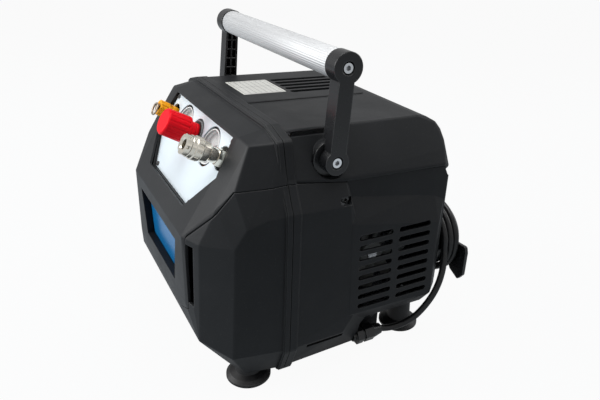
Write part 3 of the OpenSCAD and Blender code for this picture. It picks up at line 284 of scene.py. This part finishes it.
def rubber(name, color, rough=0.62, scuff=0.2):
    """Matt rubber with pale scuffs and rubbed edges."""
    s = Shader(name, color, rough, spec=0.4)
    rub_and_highlight = s.noise(60, 6, 0.7)
    scuffed = mix_rgb(color, (0.5, 0.48, 0.45), 0.22)
    base = s.mix(s.span(rub_and_highlight, 0.5, 0.8, 0.0, scuff), color, scuffed)
    base = s.worn(base, 0.0009, 0.35, mix_rgb(color, (0.7, 0.7, 0.7), 0.13))
    s.set("Base Color", base)
    s.set("Roughness", s.span(rub_and_highlight, 0.3, 0.8, rough - 0.1, rough + 0.12))
    s.bump(s.noise(1400, 3, 0.6), 0.4, 0.00008)
    return s


def lens_glass():
    """Clear plastic with a faint, uneven gloss, under a faint white haze that is a painted sheen."""
    s = Shader("gauge_clear", (0.96, 0.98, 0.985), 0.05)
    # Painted sheen: the lens is a faint white, 13% opaque, standing in for its reflection.
    s.set("IOR", 1.55).set("Alpha", 0.13)
    s.set("Roughness", s.span(s.noise(30, 4), 0.4, 0.8, 0.02, 0.08))
    return s


# ------------------------------------------------------------------ materials

MATS = {  # by slot
    # The black mouldings' lightened edges are mostly a painted highlight.
    "black_moulding": plastic("moulding_black", (0.0118, 0.0130, 0.0148), 0.46, spec=0.2, edge_wear_and_highlight=0.5),
    "black_smooth": plastic("satin_black", (0.0095, 0.010, 0.0115), 0.26, grain=2600,
                            depth=0.00002, strength=0.2, edge_wear_and_highlight=0.9, soft=0.002),
    "panel_plate": painted("panel_grey", (0.68, 0.765, 0.82), 0.4, peel=700, edge_wear_and_highlight=0.25,
                           bare_and_highlight_colour=(0.8, 0.8, 0.8)),
    "window_blue": plastic("window_blue", (0.004, 0.15, 0.38), 0.22, grain=900, strength=0.05,
                           dust=0.02, edge_wear_and_highlight=0.1, spec=0.3),
    "tube_aluminium": anodised("tube_anodised", (0.60, 0.61, 0.62)),
    "zinc_steel": metal("zinc_plate", (0.82, 0.84, 0.87), 0.22, spots=0.25,
                        tint=(0.62, 0.6, 0.55)),
    "nickel": metal("nickel_plate", (0.93, 0.88, 0.78), 0.2, spots=0.25),
    "knob_red": plastic("knob_red", (0.95, 0.003, 0.014), 0.34, grain=900, strength=0.08,
                        dust=0.02, edge_wear_and_highlight=0.15, spec=0.12),
    "valve_amber": plastic("valve_amber", (0.99, 0.42, 0.004), 0.34, grain=900, strength=0.1,
                           dust=0.02, edge_wear_and_highlight=0.12, spec=0.22),
    "collar_grey": plastic("collar_grey", (0.40, 0.41, 0.42), 0.42, edge_wear_and_highlight=0.2),
    "gauge_face": plastic("dial_white", (0.80, 0.81, 0.80), 0.45, dust=0.02, edge_wear_and_highlight=0.0),
    "needle_black": painted("needle_black", (0.012, 0.012, 0.012), 0.4),
    "clear_lens": lens_glass(),
    "rubber_black": rubber("rubber_black", (0.011, 0.011, 0.012), 0.5),
    "cord_sheath": rubber("cord_sheath", (0.008, 0.008, 0.009), 0.34, scuff=0.1),
    "steel_plate": painted("primed_sheet", (0.26, 0.28, 0.30), 0.42),
    "tank_paint": painted("tank_coat", (0.045, 0.048, 0.055), 0.36, peel=180),
    "cast_alloy": metal("cast_alloy", (0.34, 0.35, 0.37), 0.5, spots=0.35, pits=0.7),
    # Painted shade: the turned alloy is made dark grey, as it sits in shade inside the housing.
    "bright_alloy": metal("turned_alloy_painted_dark", (0.20, 0.21, 0.23), 0.26, spots=0.2),
    "motor_steel": metal("stator_stack", (0.22, 0.225, 0.23), 0.5, brushed=(1, 0.03, 0.03),
                         spots=0.4, tint=(0.5, 0.36, 0.24)),
    # Painted shade: the fan is made mid grey, as it sits in shade inside the housing.
    "fan_white": plastic("fan_white", (0.30, 0.30, 0.29), 0.45),
    "brass": metal("brass", (0.66, 0.42, 0.13), 0.3, spots=0.3),
    "copper_pipe": metal("copper", (0.62, 0.30, 0.15), 0.3, spots=0.35),
    "black_steel": painted("black_oxide", (0.035, 0.036, 0.038), 0.3, peel=500, edge_wear_and_highlight=0.5,
                           bare_and_highlight_colour=(0.45, 0.45, 0.45)),
    "switch_red": plastic("switch_red", (0.45, 0.010, 0.015), 0.28, grain=900, strength=0.08),
}
PULL_WIRE = metal("pull_wire", (0.36, 0.30, 0.24), 0.42, spots=0.3)
# Painted shade: a near-black sheet for the walls round the window and the roof's groove.
SHADE_BLACK = plastic("painted_shade_black", (0.004, 0.005, 0.007), 0.5, spec=0.15, dust=0.02, edge_wear_and_highlight=0.05)
FOIL = painted("foil_print", (0.74, 0.74, 0.70), 0.34, peel=900, edge_wear_and_highlight=0.2, bare_and_highlight_colour=(0.75, 0.75, 0.74))

for row in frame["record"]["subparts"]:
    looks = nodes[row["node"]].data.materials
    looks.clear()
    looks.append(MATS[row["material_slot"]].material)

nodes["safety_valve_pull"].data.materials[0] = PULL_WIRE.material

# ------------------------------------------------------------------ forms


def skin(bm, rings, closed=False):
    """Quads from each ring of vertices to the next; closed also joins the last to the first."""
    for p, q in zip(rings, rings[1:] + (rings[:1] if closed else [])):
        n = len(p)
        for k in range(n):
            bm.faces.new((p[k], p[(k + 1) % n], q[(k + 1) % n], q[k]))


def prism(bm, outline, place, low, high):
    """A flat form from its outline, between two heights; place turns (a, b, height) into a point."""
    under = [bm.verts.new(place(a, b, low)) for a, b in outline]
    over = [bm.verts.new(place(a, b, high)) for a, b in outline]
    bm.faces.new(list(reversed(under)))
    bm.faces.new(over)
    skin(bm, [under, over])


def ring(bm, place, inner, outer, low, high, a0=0.0, a1=360.0, steps=96):
    """A flat ring, or the part of one from a0 to a1 degrees; a full turn closes on itself."""
    whole = abs(a1 - a0) >= 360
    rows = []
    for i in range(steps if whole else steps + 1):
        a = math.radians(a0 + (a1 - a0) * i / steps)
        c, d = math.cos(a), math.sin(a)
        rows.append([bm.verts.new(place(r * c, r * d, t))
                     for r, t in ((inner, low), (outer, low), (outer, high), (inner, high))])
    skin(bm, rows, closed=whole)
    if not whole:
        bm.faces.new(rows[0])
        bm.faces.new(list(reversed(rows[-1])))


def bar(bm, place, a, r0, r1, wide, low, high):
    """A tick from radius r0 to r1 at angle a, in radians."""
    c, d = math.cos(a), math.sin(a)
    w = wide / 2
    corners = ((r0, -w), (r1, -w), (r1, w), (r0, w))
    prism(bm, [(r * c - s * d, r * d + s * c) for r, s in corners], place, low, high)


def number(bm, text, place, a, b, tall, low, thick):
    """A printed number centred at (a, b)."""
    curve = bpy.data.curves.new("number", "FONT")
    curve.body = text
    curve.size = tall
    curve.align_x = "CENTER"
    curve.align_y = "CENTER"
    curve.extrude = thick / 2
    curve.resolution_u = 3
    o = bpy.data.objects.new("number", curve)
    scene.collection.objects.link(o)
    bpy.context.view_layer.update()
    flat = bpy.data.meshes.new_from_object(o.evaluated_get(bpy.context.evaluated_depsgraph_get()))
    verts = [bm.verts.new(place(a + v.co.x, b + v.co.y, low + thick / 2 + v.co.z))
             for v in flat.vertices]
    for f in flat.polygons:
        bm.faces.new([verts[i] for i in f.vertices])
    bpy.data.objects.remove(o)
    bpy.data.meshes.remove(flat)


def smooth_line(route, per=6):
    """A Catmull-Rom line through route, in `per` steps from each point to the next."""
    line = []
    n = len(route)
    for i in range(n - 1):
        p0, p1, p2, p3 = route[max(i - 1, 0)], route[i], route[i + 1], route[min(i + 2, n - 1)]
        for k in range(per):
            t = k / per
            line.append(0.5 * ((2 * p1) + (p2 - p0) * t + (2 * p0 - 5 * p1 + 4 * p2 - p3) * t * t
                               + (3 * p1 - p0 - 3 * p2 + p3) * t * t * t))
    line.append(route[-1])
    return line


def tube(bm, line, radius, sides=16):
    """A round tube along line, closed at both ends."""
    rings, up = [], None
    last = len(line) - 1
    for i, p in enumerate(line):
        ahead = (line[min(i + 1, last)] - line[max(i - 1, 0)]).normalized()
        side = up.cross(ahead) if up else Vector((1, 0, 0)).cross(ahead)
        side.normalize()
        up = ahead.cross(side).normalized()
        rings.append([bm.verts.new(p + radius * (math.cos(a) * side + math.sin(a) * up))
                      for a in [2 * math.pi * k / sides for k in range(sides)]])
    skin(bm, rings)
    bm.faces.new(list(reversed(rings[0])))
    bm.faces.new(rings[-1])
    bmesh.ops.recalc_face_normals(bm, faces=bm.faces)


def finish_mesh(name, bm, look=None, smooth=True):
    """An object in the scene, made from bm, which it uses up."""
    data = bpy.data.meshes.new(name)
    bm.to_mesh(data)
    bm.free()
    o = bpy.data.objects.new(name, data)
    scene.collection.objects.link(o)
    if smooth:
        for p in data.polygons:
            p.use_smooth = True
    if look:
        data.materials.append(look.material)
    return o


def piece(name, bm, slot, look=None, smooth=False, body="root"):
    """A finished piece that rides on body. It has its slot's look, unless it is given another."""
    bmesh.ops.remove_doubles(bm, verts=bm.verts, dist=1e-7)
    bmesh.ops.recalc_face_normals(bm, faces=bm.faces)
    o = finish_mesh(name, bm, look or MATS[slot], smooth)
    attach(o, body)


# ------------------------------------------------------------------ the cord, in millimetres

CORD_D = 8
LEAD = [(143, 161, 26), (143.6, 167, 24.4), (145, 175, 23.6), (147.2, 183, 24.7),
        (150.1, 190.6, 27.7), (153.4, 197.8, 32.8), (157, 204.8, 40.2), (160, 211.6, 50),
        (161.7, 218, 59.8), (162.1, 224.4, 69.8), (161.6, 230, 81), (159.4, 235, 92),
        (156.2, 239, 102), (153, 241.8, 112.5)]
TAIL = [(-95, 260, 77), (-84, 259, 81.5), (-74, 258, 89.5), (-63, 257, 97), (-52, 256, 101),
        (-40, 256, 101)]
WIND_X, WIND_Y, WIND_Z = 105, 243, 121  # middle of the right end's arc, in the first plane
WIND_R = 45
WIND_PITCH = 8.5  # from the plane of one turn to the next
UPPER_SAG, LOWER_SAG = 1.2, 2.0
WIND_STEP = 14  # from one point of the route to the next


def winding():
    """Two and a half turns round the winder, from its right end upwards, each in its own plane.

    The cord steps back to the next plane along the lower run of each turn.
    """
    points = []
    run = 2 * WIND_X
    arc = math.pi * WIND_R
    total = 2 * (run + arc)
    s, lower_left = arc / 2, 2 * total + 2 * arc + run
    while s < lower_left + 0.01:
        plane, r = divmod(s, total)
        if r < arc:
            a = -math.pi / 2 + r / WIND_R
            x, z = WIND_X + WIND_R * math.cos(a), WIND_Z + WIND_R * math.sin(a)
        elif r < arc + run:
            sag = UPPER_SAG * math.sin(math.pi * (r - arc) / run)
            x, z = WIND_X - (r - arc), WIND_Z + WIND_R - sag
        elif r < 2 * arc + run:
            a = math.pi / 2 + (r - arc - run) / WIND_R
            x, z = -WIND_X + WIND_R * math.cos(a), WIND_Z + WIND_R * math.sin(a)
        else:
            u = (r - 2 * arc - run) / run
            x, z = -WIND_X + u * run, WIND_Z - WIND_R - LOWER_SAG * math.sin(math.pi * u)
            plane += u * u * (3 - 2 * u)
        points.append((x, WIND_Y + WIND_PITCH * plane, z))
        s += WIND_STEP
    return points


ROUTE = [at(*p) for p in LEAD + winding() + TAIL]


def make_cord():
    line = smooth_line(ROUTE)
    bm = bmesh.new()
    tube(bm, line, CORD_D / 2 * MM)
    cord = finish_mesh("mains_cord", bm, MATS["cord_sheath"])
    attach(cord, "root")
    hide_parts("cord_lead", "cord_winding", "cord_tail")


make_cord()

# ------------------------------------------------------------------ gauges and knob, in millimetres

TILT = math.radians(62)  # the panel's slope
PANEL_Y, PANEL_Z = -1.6, 273  # its upper edge
FITTING_V = 25  # from that edge down to the row of fittings
GAUGE_U = 45  # from the middle of the row to each gauge
DIAL_T, DIAL_R = -7, 18.3  # the dial's height over the panel, and its radius
DIAL_THICK, INK = 0.25, 0.04
PIVOT_R = 1.3  # the dial's hole for the needle
SWEEP, ZERO_AT = 270, 225  # degrees: the scale runs clockwise from its zero at the lower left
RIM = (16.9, 17.2)  # the line that the ticks start from
NUMBERED_TICK, WHOLE_TICK, HALF_TICK = 14.2, 15.2, 15.9  # the radii where they end
TICK_WIDE, HALF_TICK_WIDE = 0.5, 0.28
NUMBER_R, NUMBER_TALL = 11.6, 3.4
LIMIT_BAND = (13.2, 14.0)
LINING = (DIAL_R - 0.6, DIAL_R + 0.1)
LINING_TOP = -2.6
SEAT_GAP = 0.02  # between a plate and what it lies on


def on_gauge(u):
    """Returns a function that puts (a, b, t), in mm from a gauge's middle, on the sloping panel."""
    def place(a, b, t):
        y = -FITTING_V + b
        return at(u + a, PANEL_Y + y * math.cos(TILT) - t * math.sin(TILT),
                  PANEL_Z + y * math.sin(TILT) + t * math.cos(TILT))
    return place


def dial(name, u, top, step, limit):
    """A gauge's white face, its scale with numbers, a red band from limit up, and the lining."""
    place = on_gauge(u)
    face = DIAL_T + DIAL_THICK
    ink = face + INK

    def angle(value):
        return math.radians(ZERO_AT - SWEEP * value / top)

    bm = bmesh.new()
    ring(bm, place, PIVOT_R, DIAL_R, DIAL_T + SEAT_GAP, face)
    piece(name + "_dial", bm, "gauge_face")

    bm = bmesh.new()
    for half in range(top * 2 + 1):
        whole = half % 2 == 0
        end = NUMBERED_TICK if half % (2 * step) == 0 else WHOLE_TICK if whole else HALF_TICK
        wide = TICK_WIDE if whole else HALF_TICK_WIDE
        bar(bm, place, angle(half / 2), end, RIM[0], wide, face, ink)
    ring(bm, place, *RIM, face, ink, ZERO_AT - SWEEP, ZERO_AT, 72)
    for value in range(0, top + 1, step):
        a = angle(value)
        number(bm, str(value), place, NUMBER_R * math.cos(a), NUMBER_R * math.sin(a), NUMBER_TALL,
               face, INK)
    piece(name + "_scale", bm, "needle_black")

    bm = bmesh.new()
    ring(bm, place, *LIMIT_BAND, face, ink, ZERO_AT - SWEEP, ZERO_AT - SWEEP * limit / top, 30)
    piece(name + "_limit", bm, "knob_red")

    bm = bmesh.new()
    ring(bm, place, *LINING, face, LINING_TOP)
    piece(name + "_liner", bm, "gauge_face", smooth=True)


def knob_ring(name, inner, outer, low, high, slot, body="root"):
    """A ring round the regulator's knob, between two heights above the panel."""
    bm = bmesh.new()
    ring(bm, on_gauge(0), inner, outer, low, high, steps=72)
    piece(name, bm, slot, body=body)


knob_ring("regulator_seal", 12.2, 14.7, 1.02, 1.7, "rubber_black")
knob_ring("knob_skirt", 11.15, 11.7, 1.3, 5.6, "knob_red", body="pressure_knob")
dial("tank_gauge", -GAUGE_U, 12, 2, 8)
dial("outlet_gauge", GAUGE_U, 10, 2, 8)

# ------------------------------------------------------------------ housing and handle

PLATE_X, PLATE_Y, PLATE_Z = (-85, -20), (53, 108), 284.9  # the rating plate's seat on the roof
PLATE_THICK, PLATE_ROUND, PLATE_MARGIN = 0.3, 2.0, 3
RULE_WIDE, RULE_THICK, TABLE_ROWS, FIRST_COLUMN = 0.35, 0.03, 7, 28
# The window's painted shade: a near-black sheet on the walls round the window plate.
WINDOW_Y = (-61.4, -53.4)  # front and back of the painted-shade sheet
WINDOW_CORNERS = [(-72.2, 163.7), (72.2, 163.7), (58.3, 108.3), (-58.3, 108.3)]  # (x, z)
WINDOW_MID_Z = 130
SHADE_SHEET_SHARE, SHADE_SHEET_THICK = 0.993, 0.5  # across and upright
# Where the painted shade lies over the mouth of the roof's groove: its x, y and z spans.
GROOVE_SHADE_X, GROOVE_SHADE_Y, GROOVE_SHADE_Z = (15.7, 18.3), (39, 195), (286.51, 286.56)


def box_outline(x0, x1, y0, y1):
    """The corners of a rectangle."""
    return [(x0, y0), (x1, y0), (x1, y1), (x0, y1)]


def rating_plate():
    """A plain foil plate with a ruled, empty table."""
    (x0, x1), (y0, y1) = PLATE_X, PLATE_Y
    r, top = PLATE_ROUND, PLATE_Z + PLATE_THICK
    corners = [(x1 - r, y1 - r, 0), (x0 + r, y1 - r, 90), (x0 + r, y0 + r, 180),
               (x1 - r, y0 + r, 270)]
    outline = [(cx + r * math.cos(math.radians(a + 15 * k)),
                cy + r * math.sin(math.radians(a + 15 * k)))
               for cx, cy, a in corners for k in range(7)]
    bm = bmesh.new()
    prism(bm, outline, at, PLATE_Z + SEAT_GAP, top)
    piece("rating_plate", bm, "collar_grey", FOIL)

    left, right, low = x0 + PLATE_MARGIN, x1 - PLATE_MARGIN, y0 + PLATE_MARGIN
    tall = y1 - y0 - 2 * PLATE_MARGIN
    w = RULE_WIDE
    bm = bmesh.new()

    def rule(*sides):
        prism(bm, box_outline(*sides), at, top, top + RULE_THICK)

    levels = [low + k * tall / TABLE_ROWS for k in range(TABLE_ROWS + 1)]
    for y in levels:
        rule(left, right, y - w / 2, y + w / 2)
    for x in (left, left + FIRST_COLUMN, right):
        for y in levels[:-1]:
            rule(x - w / 2, x + w / 2, y + w / 2, y + tall / TABLE_ROWS - w / 2)
    piece("rating_plate_rules", bm, "needle_black")


def window_liner():
    """Painted shade: a near-black sheet on the walls round the window plate, which lie in shade."""
    front, back = WINDOW_Y
    inner = [(x * SHADE_SHEET_SHARE, z - math.copysign(SHADE_SHEET_THICK, z - WINDOW_MID_Z))
             for x, z in WINDOW_CORNERS]
    bm = bmesh.new()
    rings = [[bm.verts.new(at(x, y, z))
              for (x, z), y in ((o, front), (o, back), (i, back), (i, front))]
             for o, i in zip(WINDOW_CORNERS, inner)]
    skin(bm, rings, closed=True)
    piece("window_liner", bm, "black_smooth", SHADE_BLACK)


def roof_seam():
    """Painted shade: a near-black film along the mouth of the roof's groove, which it covers."""
    bm = bmesh.new()
    prism(bm, box_outline(*GROOVE_SHADE_X, *GROOVE_SHADE_Y), at, *GROOVE_SHADE_Z)
    piece("roof_seam", bm, "black_smooth", SHADE_BLACK)


def tube_grip():
    """The handle tube with its fine, rounded ribs, and a lip eased at each end."""
    low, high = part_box("handle_tube")
    mid = (low + high) / 2
    outer = (high.z - low.z) / 2
    ribs, per_rib = 36, 8
    depth, lip = 0.00028, 0.0006
    around = ribs * per_rib
    bm = bmesh.new()
    rings = []
    for x, shrink in ((low.x, lip), (low.x + lip, 0), (high.x - lip, 0), (high.x, lip)):
        row = []
        for i in range(around):
            a = 2 * math.pi * i / around
            r = outer - shrink - depth * (0.5 + 0.5 * math.cos(ribs * a)) ** 3
            row.append(bm.verts.new((x, mid.y + r * math.cos(a), mid.z + r * math.sin(a))))
        rings.append(row)
    skin(bm, rings)
    bm.faces.new(rings[0])
    bm.faces.new(rings[-1])
    bmesh.ops.recalc_face_normals(bm, faces=bm.faces)
    grip = finish_mesh("handle_grip", bm, MATS["tube_aluminium"])
    for f in grip.data.polygons:
        f.use_smooth = len(f.vertices) == 4
    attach(grip, "handle")
    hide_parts("handle_tube")


window_liner()
roof_seam()
tube_grip()
rating_plate()

# ------------------------------------------------------------------ stage

scene.view_settings.view_transform = "Standard"
WORLD_LIGHT = 0.12  # what falls on things, where the white that the camera sees is 1
FLOOR_WHITE = 0.95
LAMPS = [  # name, size, power, place, aim
    ("top_box", (1.6, 1.2), 21, (0.1, 0.0, 1.7), (0, 0, 0.2)),
    ("front_box", (1.2, 1.4), 33, (-0.6, -1.6, 0.9), (0, 0, 0.2)),
    ("side_box", (1.0, 1.2), 1.0, (1.7, 0.4, 0.9), (0, 0, 0.15)),
    ("back_box", (1.2, 0.9), 6, (0.2, 1.7, 0.9), (0, 0, 0.2)),
]


def maths(tree, operation, a, b):
    """A node that works on the output a and on b, which is an output or a number."""
    n = tree.nodes.new("ShaderNodeMath")
    n.operation = operation
    tree.links.new(a, n.inputs[0])
    if isinstance(b, bpy.types.NodeSocket):
        tree.links.new(b, n.inputs[1])
    else:
        n.inputs[1].default_value = b
    return n.outputs[0]


def white_seen(tree, glossy=0.45):
    """1 for camera and see-through rays, `glossy` for reflections, 0 for light on things."""
    path = tree.nodes.new("ShaderNodeLightPath").outputs
    seen = path["Is Camera Ray"]
    for name, share in (("Is Transmission Ray", 1.0), ("Is Glossy Ray", glossy)):
        seen = maths(tree, "MAXIMUM", seen, maths(tree, "MULTIPLY", path[name], share))
    return seen


def make_floor():
    """A floor that takes shadows and that the camera sees as nearly white."""
    bm = bmesh.new()
    bmesh.ops.create_grid(bm, x_segments=1, y_segments=1, size=40)
    look = Shader("floor_white", (0.33, 0.38, 0.42), 0.9, spec=0.1)
    tree = look.tree
    glow = look.node("ShaderNodeEmission")
    glow.inputs["Color"].default_value = (*WHITE, 1)
    glow.inputs["Strength"].default_value = 1.0
    mix = look.node("ShaderNodeMixShader")
    share, diffuse, emission = mix.inputs
    look.feed(share, maths(tree, "MULTIPLY", white_seen(tree, glossy=0.3), FLOOR_WHITE))
    look.feed(diffuse, look.surface.outputs[0])
    look.feed(emission, glow.outputs[0])
    look.feed(tree.nodes["Material Output"].inputs["Surface"], mix.outputs[0])
    finish_mesh("floor", bm, look, smooth=False)


def make_world():
    """White for the camera, and a faint even light on things."""
    world = bpy.data.worlds.new("studio")
    scene.world = world
    world.use_nodes = True
    tree = world.node_tree
    background = tree.nodes["Background"]
    background.inputs["Color"].default_value = (*WHITE, 1)
    level = tree.nodes.new("ShaderNodeMapRange")
    level.inputs["To Min"].default_value = WORLD_LIGHT
    level.inputs["To Max"].default_value = 1.0
    tree.links.new(white_seen(tree), level.inputs["Value"])
    tree.links.new(level.outputs["Result"], background.inputs["Strength"])


def lamp(name, size, power, place, aim):
    """A soft box, aimed at a point."""
    data = bpy.data.lights.new(name, "AREA")
    data.shape = "RECTANGLE"
    data.size, data.size_y = size
    data.energy = power
    o = bpy.data.objects.new(name, data)
    scene.collection.objects.link(o)
    o.location = place
    o.rotation_euler = (Vector(aim) - Vector(place)).to_track_quat("-Z", "Y").to_euler()


make_floor()
make_world()
for settings in LAMPS:
    lamp(*settings)
